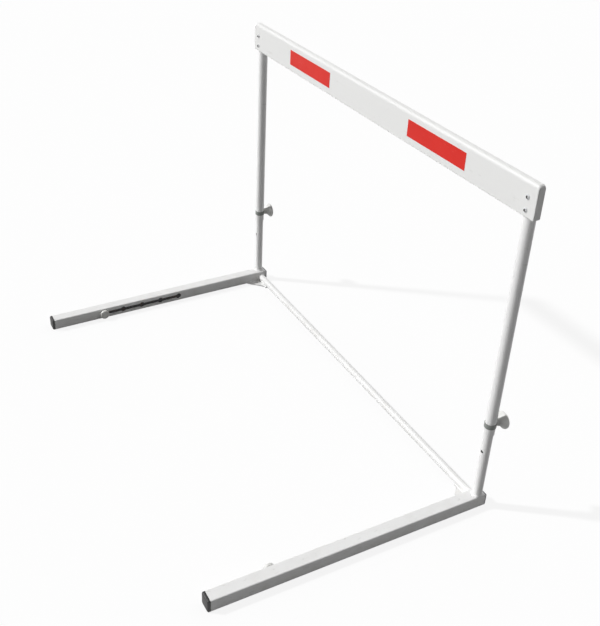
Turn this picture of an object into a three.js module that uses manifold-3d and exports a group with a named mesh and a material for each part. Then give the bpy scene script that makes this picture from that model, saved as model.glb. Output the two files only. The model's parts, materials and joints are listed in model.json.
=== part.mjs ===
// Track hurdle: a white board on two telescopic uprights over a pair of long floor legs.
// Millimetres. X runs along the bar, -Y is the side that the legs point to, +Z is up.
// The origin is on the floor, in the middle of the whole hurdle.

import * as THREE from "three";
import { mergeVertices } from "three/addons/utils/BufferGeometryUtils.js";
import Module from "manifold-3d";

const wasm = await Module();
wasm.setup();

// Gaps between pieces, and how far a cutting tool reaches past what it cuts
const weldGap = 0.3;
const snugGap = 0.1;
const overrun = 2;

// Bar, its height settings and its red panels
const barLength = 1200;
const barHeight = 75;
const barThickness = 18;
const barTopFrontRound = 8;
const barTopRearRound = 4;
const barBottomRound = 2.5;
const barEndTopRound = 8;
const barEndBottomRound = 3;
const barEndFrontRound = 1.5;
const barEndRearRound = 1.5;
const barSeatDepth = 2;
const lowestSetting = 762;
const settingPitch = 76.2;
const settingCount = 5;
const settingAtRest = 1;
const panelLength = 210;
const panelHeight = 40;
const panelThickness = 0.3;
const panelMidReach = 278;

// Uprights: an inner tube with index holes, and an outer tube that slides over it
const uprightInset = 25;
const innerTubeDiameter = 22.2;
const innerTubeWall = 1.5;
const slideClearance = 0.4;
const outerTubeWall = 1.2;
const outerTubeTopDrop = 12;
const outerTubeTail = 26;
const lowestIndexHole = 165.8;
const indexTubeMargin = 30;

// Legs, cross tube, corner plates and end caps
const legSize = 32;
const legWall = 2;
const legCornerRound = 3;
const legFrontReach = 688;
const legRearReach = 16;
const legInboardShift = 4;
const crossTubeDiameter = 19;
const crossTubeWall = 1.5;
const gussetThickness = 4;
const gussetReach = 42;
const gussetTipWidth = 8;
const frontCapThickness = 8;
const frontCapRound = 3.5;
const rearCapThickness = 6;
const rearCapRound = 4;
const capPlugDepth = 18;
const capPlugWall = 2.5;
const capPlugClearance = 0.3;
const capPlugCornerRound = 0.8;

// Bolts that hold the bar in the notch of each outer tube
const boltDiameter = 6;
const boltHoleClearance = 0.3;
const boltHeadDiameter = 10;
const boltHeadHeight = 2.8;
const boltSocketWidth = 4;
const boltSocketDepth = 1.6;
const boltTail = 2;
const boltSpacing = 28;
const boltPairDrop = 46.2;
const nutWidth = 10;
const nutHeight = 5;
const nutFlangeDiameter = 13;
const nutFlangeHeight = 1.2;

// Height lock: clamp band, barrel, spring pin and mushroom knob behind each outer tube
const lockTravel = 4.5;
const lockRunGap = 0.3;
const lockPinDiameter = 7.5;
const lockPinClearance = 0.35;
const lockStemDiameter = 5;
const lockStemClearance = 0.15;
const lockShoulderThickness = 1.2;
const lockShoulderClearance = 0.4;
const lockSpringRoom = 4;
const lockSpringWire = 0.6;
const lockSpringTurns = 4;
const lockBarrelDiameter = 16.4;
const lockBarrelWall = 2.2;
const bandHeight = 12.5;
const bandWall = 1;
const bandGap = 0.2;
const knobSkirtWall = 1.2;
const knobHeadDiameter = 42;
const knobRimHeight = 2;
const knobDomeHeight = 5;
const knobLength = 22;
const knobStemGrip = 4.5;

// Counterweight in each leg, with its five keyholes, stem and knob
const stationCount = 5;
const stationPitch = 61;
const weightFrontLength = 128;
const weightRearLength = 272;
const weightEndGap = 6;
const weightClearance = 0.5;
const weightChamfer = 1.5;
const weightShoulder = 6;
const weightBoreClearance = 0.5;
const stemDiameter = 8;
const slotClearance = 1;
const collarDiameter = 16;
const collarHeight = 2.5;
const keyholeClearance = 0.5;
const stemFlangeDiameter = 13;
const stemFlangeThickness = 2;
const weightSpringRoom = 8;
const weightSpringWire = 1;
const weightSpringTurns = 5;
const weightKnobDiameter = 27;
const weightKnobThickness = 7.2;
const weightKnobRound = 2;
const weightKnobStemGrip = 7.5;

// How finely round shapes are divided
const roundSides = 24;
const holeSides = 16;
const hexagonSides = 6;
const arcSteps = 4;
const domeSteps = 4;
const wireSides = 5;
const stepsPerTurn = 8;

// Sizes that follow from the ones above
const outerTubeBore = innerTubeDiameter + 2 * slideClearance;
const outerTubeDiameter = outerTubeBore + 2 * outerTubeWall;
const barTop = lowestSetting + settingAtRest * settingPitch;
const barBottom = barTop - barHeight;
const barMid = barTop - barHeight / 2;
const barRear = barSeatDepth;
const barFront = barRear - barThickness;
const uprightReach = barLength / 2 - uprightInset;
const legReach = uprightReach - legInboardShift;
const legMid = legSize / 2;
const lockHeight = lowestIndexHole + settingAtRest * settingPitch;
const innerTubeFoot = legSize + weldGap;
const innerTubeTop = lowestIndexHole + (settingCount - 1) * settingPitch + indexTubeMargin;
const outerTubeFoot = lockHeight - outerTubeTail;
const outerTubeTop = barTop - outerTubeTopDrop;
const boltPairMid = barTop - boltPairDrop;
const boltHeights = { upper: boltPairMid + boltSpacing / 2, lower: boltPairMid - boltSpacing / 2 };
const boltHoleDiameter = boltDiameter + 2 * boltHoleClearance;
const nutFront = outerTubeDiameter / 2 + snugGap;
const boltEnd = nutFront + nutHeight + boltTail;
const crossTubeMid = gussetThickness + weldGap + crossTubeDiameter / 2;

// Height lock, measured rearwards from the upright's axis, with the pin drawn clear
const bandOuterRadius = outerTubeDiameter / 2 + bandGap + bandWall;
const pinHoleDiameter = lockPinDiameter + 2 * lockPinClearance;
const pinTip = innerTubeDiameter / 2 + lockPinClearance;
const shoulderFront = bandOuterRadius + lockRunGap + lockTravel;
const shoulderRear = shoulderFront + lockShoulderThickness;
const barrelCavityEnd = shoulderRear + lockSpringRoom;
const barrelEnd = barrelCavityEnd + lockBarrelWall;
const barrelCavityRadius = lockBarrelDiameter / 2 - lockBarrelWall;
const knobFront = bandOuterRadius + lockRunGap + lockTravel;
const knobFloor = barrelEnd + lockRunGap + lockTravel;
const knobRear = knobFront + knobLength;
const knobSkirtBore = lockBarrelDiameter / 2 + lockRunGap;
const lockStemEnd = knobFloor + knobStemGrip;

// Counterweight, measured outwards across the leg from its middle, with the collar drawn clear
const weightWidth = legSize - 2 * legWall - 2 * weightClearance;
const collarTip = -legSize / 2 - weldGap;
const knobBase = collarTip - collarHeight;
const weightFace = -weightWidth / 2;
const weightSpringStart = weightFace + weightShoulder;
const stemFlangeFront = weightSpringStart + weightSpringRoom;
const keyholeDiameter = collarDiameter + 2 * keyholeClearance;
const slotHeight = stemDiameter + 2 * slotClearance;
const firstStation = -legFrontReach + capPlugDepth + weightEndGap + weightFrontLength;
const lastStation = firstStation + (stationCount - 1) * stationPitch;
const weightBoreDiameter = stemDiameter + 2 * weightBoreClearance;
const weightCavityDiameter = stemFlangeDiameter + 2 * weightBoreClearance;

// The finished hurdle reaches from the front caps to the lock knobs
const frontEnd = -legFrontReach - frontCapThickness;
const depthMid = (frontEnd + knobRear) / 2;

// Directions in which shapes are laid
const X = new THREE.Vector3(1, 0, 0);
const Y = new THREE.Vector3(0, 1, 0);
const Z = new THREE.Vector3(0, 0, 1);

function finish(color, roughness, metalness) {
  return () => new THREE.MeshStandardMaterial({ color, roughness, metalness });
}

const whitePaint = finish("#f1f1ef", 0.35, 0);
const boardPaint = finish("#ececea", 0.45, 0);
const redVinyl = finish("#e2382c", 0.5, 0);
const blackPlastic = finish("#2c2b2b", 0.55, 0);
const greyPlastic = finish("#b9bbbf", 0.5, 0);
const palePlastic = finish("#dcdcda", 0.45, 0);
const darkBand = finish("#6f7370", 0.5, 0);
const zincSteel = finish("#b4b6b8", 0.35, 0.9);
const castIron = finish("#55565a", 0.7, 0.6);

// A closed geometry becomes a solid that can be cut and joined.
function solidFrom(geometry) {
  const bare = geometry.clone();
  bare.deleteAttribute("normal");
  bare.deleteAttribute("uv");
  const merged = mergeVertices(bare);
  const corners = merged.index.array;
  const kept = [];
  for (let i = 0; i < corners.length; i += 3) {
    const [a, b, c] = [corners[i], corners[i + 1], corners[i + 2]];
    if (a !== b && b !== c && c !== a) kept.push(a, b, c);
  }
  return new wasm.Manifold(new wasm.Mesh({
    numProp: 3,
    vertProperties: Float32Array.from(merged.attributes.position.array),
    triVerts: Uint32Array.from(kept),
  }));
}

function cut(solid, ...tools) {
  return tools.reduce((left, tool) => left.subtract(tool), solid);
}

function join(solid, ...others) {
  return others.reduce((whole, other) => whole.add(other), solid);
}

// A box between two opposite corners.
function block(corner, opposite) {
  const size = opposite.map((value, i) => Math.abs(value - corner[i]));
  const middle = opposite.map((value, i) => (value + corner[i]) / 2);
  return solidFrom(new THREE.BoxGeometry(...size).translate(...middle));
}

// Turns a shape made about +Y so that it runs along the given direction instead.
function along(direction, geometry) {
  const turn = new THREE.Quaternion().setFromUnitVectors(Y, direction);
  return geometry.applyQuaternion(turn);
}

// A round bar with a given radius between two distances along a direction.
function rod(direction, radius, from, to, sides = roundSides) {
  const geometry = new THREE.CylinderGeometry(radius, radius, to - from, sides);
  return solidFrom(along(direction, geometry.translate(0, (from + to) / 2, 0)));
}

// A six-sided bar along Y with a given width across its flats.
function hexagonBar(acrossFlats, from, to) {
  return rod(Y, acrossFlats / Math.sqrt(3), from, to, hexagonSides);
}

// A turned piece: its profile lists radius and distance, with the material on the left.
function turned(direction, profile, sides = roundSides) {
  const points = profile.map(([radius, distance]) => new THREE.Vector2(radius, distance));
  return solidFrom(along(direction, new THREE.LatheGeometry(points, sides)));
}

function tube(direction, outerDiameter, wall, from, to) {
  const outer = outerDiameter / 2;
  const inner = outer - wall;
  return turned(direction, [[inner, from], [outer, from], [outer, to], [inner, to], [inner, from]]);
}

// Points of a quarter arc from one angle to another about a centre, as radius and distance.
function arc(centre, radius, fromQuarter, toQuarter, steps = arcSteps) {
  return Array.from({ length: steps + 1 }, (_, i) => {
    const angle = (Math.PI / 2) * (fromQuarter + ((toQuarter - fromQuarter) * i) / steps);
    return [centre[0] + radius * Math.cos(angle), centre[1] + radius * Math.sin(angle)];
  });
}

// A rectangle with its own rounding at each corner: low left, low right, high right, high left.
function roundedRectangle(left, right, low, high, rounds) {
  const [lowLeft, lowRight, highRight, highLeft] = rounds;
  const points = [
    ...arc([right - lowRight, low + lowRight], lowRight, 3, 4),
    ...arc([right - highRight, high - highRight], highRight, 0, 1),
    ...arc([left + highLeft, high - highLeft], highLeft, 1, 2),
    ...arc([left + lowLeft, low + lowLeft], lowLeft, 2, 3),
  ];
  return points.map(([across, up]) => new THREE.Vector2(across, up));
}

// An outline drawn across two directions and drawn out along the third, from one place to another.
function drawnOut(outline, across, up, outward, from, to) {
  const settings = { depth: to - from, steps: 1, bevelEnabled: false };
  const geometry = new THREE.ExtrudeGeometry(new THREE.Shape(outline), settings).translate(0, 0, from);
  return solidFrom(geometry.applyMatrix4(new THREE.Matrix4().makeBasis(across, up, outward)));
}

// A convex outline that changes on its way outwards: each ring is an outline and its distance.
function lofted(rings, across, up, outward) {
  const count = rings[0].outline.length;
  const corners = rings.flatMap(
    ({ outline, distance }) => outline.map((point) => [point.x, point.y, distance]),
  );
  const triangles = [];
  for (let i = 0; i < count; i += 1) {
    const next = (i + 1) % count;
    for (let ring = 0; ring < rings.length - 1; ring += 1) {
      const [low, high] = [ring * count, (ring + 1) * count];
      triangles.push(low + i, low + next, high + next, low + i, high + next, high + i);
    }
  }
  const last = (rings.length - 1) * count;
  for (let i = 1; i < count - 1; i += 1) {
    triangles.push(0, i + 1, i, last, last + i, last + i + 1);
  }
  const geometry = new THREE.BufferGeometry();
  geometry.setAttribute("position", new THREE.Float32BufferAttribute(corners.flat(), 3));
  geometry.setIndex(triangles);
  return solidFrom(geometry.applyMatrix4(new THREE.Matrix4().makeBasis(across, up, outward)));
}

// The coil of a compression spring, from one distance to another along its direction.
function coil(direction, meanRadius, wireDiameter, turns, from, to) {
  const wire = wireDiameter / 2;
  const start = from + wire;
  const rise = to - from - wireDiameter;
  class Helix extends THREE.Curve {
    getPoint(share, target = new THREE.Vector3()) {
      const angle = 2 * Math.PI * turns * share;
      return target.set(meanRadius * Math.sin(angle), start + rise * share, meanRadius * Math.cos(angle));
    }
  }
  const section = Array.from({ length: wireSides }, (_, i) => {
    const angle = (2 * Math.PI * i) / wireSides;
    return new THREE.Vector2(wire * Math.cos(angle), wire * Math.sin(angle));
  });
  const settings = { steps: turns * stepsPerTurn, extrudePath: new Helix(), bevelEnabled: false };
  return solidFrom(along(direction, new THREE.ExtrudeGeometry(new THREE.Shape(section), settings)));
}

// A named mesh from a solid, put into its group.
function place(group, name, solid, material) {
  const mesh = solid.getMesh();
  const geometry = new THREE.BufferGeometry();
  geometry.setAttribute("position", new THREE.BufferAttribute(mesh.vertProperties, 3));
  geometry.setIndex(new THREE.BufferAttribute(mesh.triVerts, 1));
  geometry.computeVertexNormals();
  const piece = new THREE.Mesh(geometry, material());
  piece.name = name;
  group.add(piece);
  return piece;
}

function groupAt(parent, x, y, z) {
  const group = new THREE.Group();
  group.position.set(x, y, z);
  parent.add(group);
  return group;
}

// The leg's square outline, drawn in all round by an inset.
function legOutline(inset, round) {
  const half = legSize / 2 - inset;
  return roundedRectangle(-half, half, -half, half, [round, round, round, round]);
}

// Square tube with the slot and keyholes of the counterweight in its inner side.
function leg(side) {
  const down = Z.clone().negate();
  const body = drawnOut(legOutline(0, legCornerRound), X, down, Y, -legFrontReach, legRearReach);
  const hollow = drawnOut(
    legOutline(legWall, legCornerRound - legWall), X, down, Y,
    -legFrontReach - overrun, legRearReach + overrun,
  );
  const inward = X.clone().multiplyScalar(-side);
  const from = legSize / 2 - legWall - overrun;
  const to = legSize / 2 + overrun;
  const slot = block(
    [-side * from, firstStation, -slotHeight / 2],
    [-side * to, lastStation, slotHeight / 2],
  );
  const keyholes = Array.from({ length: stationCount }, (_, i) => {
    const hole = rod(inward, keyholeDiameter / 2, from, to, holeSides);
    return hole.translate([0, firstStation + i * stationPitch, 0]);
  });
  return cut(body, hollow, slot, ...keyholes);
}

// End cap: a flange as large as the leg, rounded outside, with a hollow plug that grips inside the tube.
function endCap(legEnd, direction, thickness, round) {
  const outward = Y.clone().multiplyScalar(direction);
  const up = new THREE.Vector3().crossVectors(outward, X);
  const rounding = arc([0, thickness - round], round, 0, 1).map(([reach, distance]) => (
    { outline: legOutline(round - reach, legCornerRound), distance }
  ));
  const seat = { outline: legOutline(0, legCornerRound), distance: weldGap };
  const flange = lofted([seat, ...rounding], X, up, outward);
  const plugOutline = legOutline(legWall + capPlugClearance, capPlugCornerRound);
  const plug = drawnOut(plugOutline, X, up, outward, -capPlugDepth, thickness - round);
  const hollowOutline = legOutline(legWall + capPlugClearance + capPlugWall, capPlugCornerRound);
  const hollow = drawnOut(hollowOutline, X, up, outward, -capPlugDepth - overrun, 0);
  return cut(join(flange, plug), hollow).translate([0, legEnd, 0]);
}

function crossTube() {
  const half = legReach - legSize / 2 - weldGap;
  return tube(X, crossTubeDiameter, crossTubeWall, -half, half);
}

// Flat plate in the corner between a leg and the cross tube, with its free edge on the slant.
function gusset(side) {
  const edge = legReach - legSize / 2 - weldGap;
  const tubeHalf = crossTubeDiameter / 2;
  const outline = [
    [edge, tubeHalf],
    [edge - gussetReach - gussetTipWidth, tubeHalf],
    [edge - gussetReach - gussetTipWidth, -tubeHalf],
    [edge - gussetReach, -tubeHalf],
    [edge, -tubeHalf - gussetReach],
  ].map(([x, y]) => new THREE.Vector2(side * x, y));
  if (side > 0) outline.reverse();
  return drawnOut(outline, X, Y, Z, 0, gussetThickness);
}

// Thin tube with an index hole through both walls for each height setting.
function innerUpright() {
  const holes = Array.from({ length: settingCount }, (_, i) => {
    const hole = rod(Y, pinHoleDiameter / 2, -innerTubeDiameter, innerTubeDiameter, holeSides);
    return hole.translate([0, 0, lowestIndexHole + i * settingPitch]);
  });
  return cut(tube(Z, innerTubeDiameter, innerTubeWall, innerTubeFoot, innerTubeTop), ...holes);
}

// Outer tube: its front is cut away behind the bar, and its rear wall is drilled.
function outerUpright() {
  const body = tube(Z, outerTubeDiameter, outerTubeWall, outerTubeFoot, outerTubeTop);
  const notch = block(
    [-outerTubeDiameter, -outerTubeDiameter, barBottom - weldGap],
    [outerTubeDiameter, barRear + weldGap, outerTubeTop + overrun],
  );
  const pinHole = rod(Y, pinHoleDiameter / 2, 0, outerTubeDiameter, holeSides);
  const boltHoles = Object.values(boltHeights).map((height) => {
    const hole = rod(Y, boltHoleDiameter / 2, 0, outerTubeDiameter, holeSides);
    return hole.translate([0, 0, height]);
  });
  return cut(body, notch, pinHole.translate([0, 0, lockHeight]), ...boltHoles);
}

// Board whose section, front view and plan each have their own rounded corners.
function topBar() {
  const section = roundedRectangle(
    barFront, barRear, barBottom, barTop,
    [barBottomRound, barBottomRound, barTopRearRound, barTopFrontRound],
  );
  const half = barLength / 2;
  const faceOutline = roundedRectangle(
    -half, half, barBottom, barTop,
    [barEndBottomRound, barEndBottomRound, barEndTopRound, barEndTopRound],
  );
  const face = drawnOut(faceOutline, X, Z, Y.clone().negate(), -barRear - overrun, -barFront + overrun);
  const planOutline = roundedRectangle(
    -half, half, barFront, barRear,
    [barEndFrontRound, barEndFrontRound, barEndRearRound, barEndRearRound],
  );
  const plan = drawnOut(planOutline, X, Y, Z, barBottom - overrun, barTop + overrun);
  const board = drawnOut(section, Y, Z, X, -half, half).intersect(face).intersect(plan);
  const holes = [-1, 1].flatMap((side) => Object.values(boltHeights).map((height) => {
    const hole = rod(Y, boltHoleDiameter / 2, barFront - overrun, barRear + overrun, holeSides);
    return hole.translate([side * uprightReach, 0, height]);
  }));
  return cut(board, ...holes);
}

function redPanel() {
  return block(
    [-panelLength / 2, barFront - snugGap - panelThickness, barMid - panelHeight / 2],
    [panelLength / 2, barFront - snugGap, barMid + panelHeight / 2],
  );
}

// Low domed bolt with a six-sided socket, its head on the bar's front.
function barBolt() {
  const seat = barFront - snugGap;
  const headRadius = boltHeadDiameter / 2;
  const headTop = seat - boltHeadHeight;
  const dome = Array.from({ length: domeSteps + 1 }, (_, i) => {
    const angle = (Math.PI / 2) * (i / domeSteps);
    return [headRadius * Math.sin(angle), seat - boltHeadHeight * Math.cos(angle)];
  });
  const profile = [...dome, [boltDiameter / 2, seat], [boltDiameter / 2, boltEnd], [0, boltEnd]];
  const socket = hexagonBar(boltSocketWidth, headTop - overrun, headTop + boltSocketDepth);
  return cut(turned(Y, profile, holeSides), socket);
}

function flangeNut() {
  const nutRear = nutFront + nutHeight;
  const hexagon = hexagonBar(nutWidth, nutFront, nutRear);
  const flange = rod(Y, nutFlangeDiameter / 2, nutFront, nutFront + nutFlangeHeight, holeSides);
  const bore = rod(Y, boltDiameter / 2 + snugGap, nutFront - overrun, nutRear + overrun, holeSides);
  return cut(join(hexagon, flange), bore);
}

// Band round the outer tube that carries the barrel of the height lock.
function clampBand() {
  const low = lockHeight - bandHeight / 2;
  const ring = tube(Z, 2 * bandOuterRadius, bandWall, low, low + bandHeight);
  const pinHole = rod(Y, pinHoleDiameter / 2, 0, 2 * bandOuterRadius, holeSides);
  return cut(ring, pinHole.translate([0, 0, lockHeight]));
}

// Barrel behind the band: open to the front, with a rear wall that backs the spring.
function lockBarrel() {
  const outer = lockBarrelDiameter / 2;
  const stemBore = lockStemDiameter / 2 + lockStemClearance;
  const profile = [
    [barrelCavityRadius, 0], [outer, 0], [outer, barrelEnd], [stemBore, barrelEnd],
    [stemBore, barrelCavityEnd], [barrelCavityRadius, barrelCavityEnd], [barrelCavityRadius, 0],
  ];
  const saddle = rod(Z, bandOuterRadius + weldGap, -bandOuterRadius, bandOuterRadius);
  return cut(turned(Y, profile), saddle);
}

// Pin with a shoulder for the spring and a thin stem that ends in the knob.
function lockPin() {
  const pin = lockPinDiameter / 2;
  const shoulder = barrelCavityRadius - lockShoulderClearance;
  const stem = lockStemDiameter / 2;
  const chamfer = pin - stem;
  return turned(Y, [
    [0, pinTip], [stem, pinTip], [pin, pinTip + chamfer], [pin, shoulderFront], [shoulder, shoulderFront],
    [shoulder, shoulderRear], [stem, shoulderRear], [stem, lockStemEnd], [0, lockStemEnd],
  ]);
}

function lockSpring() {
  const meanRadius = (lockStemDiameter / 2 + barrelCavityRadius) / 2;
  return coil(
    Y, meanRadius, lockSpringWire, lockSpringTurns,
    shoulderRear + snugGap, barrelCavityEnd - snugGap,
  );
}

// Mushroom knob whose hollow neck runs over the barrel.
function lockKnob() {
  const stemHole = lockStemDiameter / 2 + snugGap;
  const holeEnd = lockStemEnd + snugGap;
  const head = knobHeadDiameter / 2;
  const rimRear = knobRear - knobDomeHeight;
  const dome = Array.from({ length: domeSteps + 1 }, (_, i) => {
    const angle = (Math.PI / 2) * (i / domeSteps);
    return [head * Math.cos(angle), rimRear + knobDomeHeight * Math.sin(angle)];
  });
  dome[domeSteps][0] = 0;
  return turned(Y, [
    [0, holeEnd], [stemHole, holeEnd], [stemHole, knobFloor], [knobSkirtBore, knobFloor],
    [knobSkirtBore, knobFront], [knobSkirtBore + knobSkirtWall, knobFront],
    [head, rimRear - knobRimHeight], ...dome,
  ]);
}

// Iron bar inside the leg: bored for the stem, and bored wider from the outer side for its spring.
function counterweight(side) {
  const half = weightWidth / 2;
  const corners = [[half, half - weightChamfer], [half - weightChamfer, half]];
  const outline = [[1, 1], [-1, 1], [-1, -1], [1, -1]].flatMap(([across, up]) => {
    const pair = corners.map(([x, z]) => new THREE.Vector2(across * x, up * z));
    return across * up > 0 ? pair : pair.reverse();
  });
  const body = drawnOut(
    outline, X, Z.clone().negate(), Y,
    firstStation - weightFrontLength, firstStation + weightRearLength,
  );
  const outward = X.clone().multiplyScalar(side);
  const stemBore = rod(outward, weightBoreDiameter / 2, weightFace - overrun, half + overrun, holeSides);
  const cavity = rod(outward, weightCavityDiameter / 2, weightSpringStart, half + overrun, holeSides);
  return cut(body, stemBore.translate([0, firstStation, 0]), cavity.translate([0, firstStation, 0]));
}

function weightStem(side) {
  const outward = X.clone().multiplyScalar(side);
  const stem = stemDiameter / 2;
  const start = collarTip - weightKnobStemGrip;
  const flange = stemFlangeDiameter / 2;
  const flangeRear = stemFlangeFront + stemFlangeThickness;
  return turned(outward, [
    [0, start], [stem, start], [stem, stemFlangeFront], [flange, stemFlangeFront],
    [flange, flangeRear], [0, flangeRear],
  ]).translate([0, firstStation, 0]);
}

function weightSpring(side) {
  const outward = X.clone().multiplyScalar(side);
  const meanRadius = (stemDiameter + weightCavityDiameter) / 4;
  return coil(
    outward, meanRadius, weightSpringWire, weightSpringTurns,
    weightSpringStart + snugGap, stemFlangeFront - snugGap,
  ).translate([0, firstStation, 0]);
}

// Round knob on the leg's inner side, with the collar that drops into a keyhole.
function weightKnob(side) {
  const outward = X.clone().multiplyScalar(side);
  const stemHole = stemDiameter / 2 + snugGap;
  const holeEnd = collarTip - weightKnobStemGrip - snugGap;
  const collar = collarDiameter / 2;
  const rim = weightKnobDiameter / 2;
  const face = knobBase - weightKnobThickness;
  return turned(outward, [
    [0, face], ...arc([rim - weightKnobRound, face + weightKnobRound], weightKnobRound, -1, 0),
    [rim, knobBase], [collar, knobBase], [collar, collarTip], [stemHole, collarTip],
    [stemHole, holeEnd], [0, holeEnd],
  ]).translate([0, firstStation, 0]);
}

const hurdle = new THREE.Group();
const frame = groupAt(hurdle, 0, -depthMid, 0);

const base = groupAt(frame, 0, 0, 0);
place(groupAt(base, 0, 0, crossTubeMid), "cross_tube", crossTube(), whitePaint);

const barFrame = groupAt(frame, 0, 0, 0);
place(barFrame, "top_bar", topBar(), boardPaint);

for (const [name, side] of [["left", -1], ["right", 1]]) {
  const legGroup = groupAt(base, side * legReach, 0, legMid);
  const frontCap = endCap(-legFrontReach, -1, frontCapThickness, frontCapRound);
  const rearCap = endCap(legRearReach, 1, rearCapThickness, rearCapRound);
  place(legGroup, `${name}_leg`, leg(side), whitePaint);
  place(legGroup, `${name}_front_cap`, frontCap, blackPlastic);
  place(legGroup, `${name}_rear_cap`, rearCap, greyPlastic);
  place(base, `${name}_gusset`, gusset(side), whitePaint);

  const weightGroup = groupAt(legGroup, 0, 0, 0);
  place(weightGroup, `${name}_weight`, counterweight(side), castIron);
  place(weightGroup, `${name}_weight_spring`, weightSpring(side), zincSteel);
  place(weightGroup, `${name}_weight_stem`, weightStem(side), zincSteel);
  place(weightGroup, `${name}_weight_knob`, weightKnob(side), palePlastic);

  place(groupAt(base, side * uprightReach, 0, 0), `${name}_inner_upright`, innerUpright(), whitePaint);
  place(groupAt(barFrame, side * panelMidReach, 0, 0), `${name}_red_panel`, redPanel(), redVinyl);

  const mast = groupAt(barFrame, side * uprightReach, 0, 0);
  place(mast, `${name}_outer_upright`, outerUpright(), whitePaint);
  place(mast, `${name}_clamp_band`, clampBand(), darkBand);
  for (const [level, height] of Object.entries(boltHeights)) {
    const boltGroup = groupAt(mast, 0, 0, height);
    place(boltGroup, `${name}_${level}_bolt`, barBolt(), zincSteel);
    place(boltGroup, `${name}_${level}_nut`, flangeNut(), zincSteel);
  }

  const lockGroup = groupAt(mast, 0, 0, lockHeight);
  place(lockGroup, `${name}_lock_barrel`, lockBarrel(), palePlastic);
  place(lockGroup, `${name}_lock_pin`, lockPin(), zincSteel);
  place(lockGroup, `${name}_lock_spring`, lockSpring(), zincSteel);
  place(lockGroup, `${name}_lock_knob`, lockKnob(), palePlastic);
}

export default hurdle;
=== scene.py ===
"""The looks of a track hurdle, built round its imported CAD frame, in metres on the frame's axes."""

import json

import bmesh
import bpy
import numpy as np
from mathutils import Matrix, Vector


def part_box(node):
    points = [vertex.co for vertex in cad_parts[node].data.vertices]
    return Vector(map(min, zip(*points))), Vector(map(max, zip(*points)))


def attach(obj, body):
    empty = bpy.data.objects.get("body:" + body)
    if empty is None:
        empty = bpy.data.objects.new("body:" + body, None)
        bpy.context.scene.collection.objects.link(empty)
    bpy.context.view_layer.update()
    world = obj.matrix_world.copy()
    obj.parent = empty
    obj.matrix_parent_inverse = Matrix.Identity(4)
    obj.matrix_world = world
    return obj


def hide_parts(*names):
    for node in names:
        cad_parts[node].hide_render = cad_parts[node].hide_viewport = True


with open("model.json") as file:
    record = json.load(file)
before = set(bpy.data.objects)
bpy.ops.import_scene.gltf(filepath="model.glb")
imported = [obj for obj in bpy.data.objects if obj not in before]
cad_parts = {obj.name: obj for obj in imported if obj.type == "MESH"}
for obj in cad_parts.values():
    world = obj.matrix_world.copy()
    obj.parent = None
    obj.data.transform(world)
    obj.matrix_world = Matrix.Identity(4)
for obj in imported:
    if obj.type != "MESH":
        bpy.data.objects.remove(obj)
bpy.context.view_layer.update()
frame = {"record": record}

# Camera: a normal lens to the right and in front of the hurdle, looking down on it. Its place,
# turn and lens are those that carry the hurdle's main edges onto the photograph's.
photo_height_pixels = 626
photo_middle_pixel = (300, 313)
lens_axis_pixel = (269.5, 282.02)
focal_length_pixels = 918.28
sensor_width = 36
camera_place = (1.7516, -0.86471, 1.55745)
azimuth, elevation, roll = np.radians((62.05, 31.05, -1.68))

forward = np.array([
    -np.sin(azimuth) * np.cos(elevation), np.cos(azimuth) * np.cos(elevation), -np.sin(elevation),
])
level = np.array([np.cos(azimuth), np.sin(azimuth), 0])
plumb = np.cross(forward, level)
right = np.cos(roll) * level + np.sin(roll) * plumb
down = np.cos(roll) * plumb - np.sin(roll) * level
camera = bpy.data.objects.new("camera", bpy.data.cameras.new("camera"))
camera.data.sensor_width = sensor_width
camera.data.lens = focal_length_pixels * sensor_width / photo_height_pixels
camera.data.shift_x = (photo_middle_pixel[0] - lens_axis_pixel[0]) / photo_height_pixels
camera.data.shift_y = (lens_axis_pixel[1] - photo_middle_pixel[1]) / photo_height_pixels
camera_axes = Matrix(np.stack([right, -down, -forward], axis=1)).to_4x4()
camera.matrix_world = Matrix.Translation(camera_place) @ camera_axes
bpy.context.scene.collection.objects.link(camera)
bpy.context.scene.camera = camera


# Legs: square steel tube, powder coated white, with a long slot and five keyholes punched in the
# inner side for the counterweight's knob. Each lies on the floor and points to the runner.
leg_wall = 0.002
leg_corner_round = 0.003
leg_corner_steps = 8
keyhole_radius = 0.0085
slot_half_height = 0.005
keyhole_count = 5
keyhole_pitch = 0.061
keyhole_steps = 14
strip_shares = np.array([0, 0.12, 0.5, 1])
cut_edge_round = 0.00035
seam_width = 2e-6
smooth_limit = np.radians(38)
sides = (("left", -1), ("right", 1))
bodies = frame["record"]["behaviour"]["bodies"]
body_of = {node: body for body, nodes in bodies.items() for node in nodes}
coat_relief = 0.00006


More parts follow.
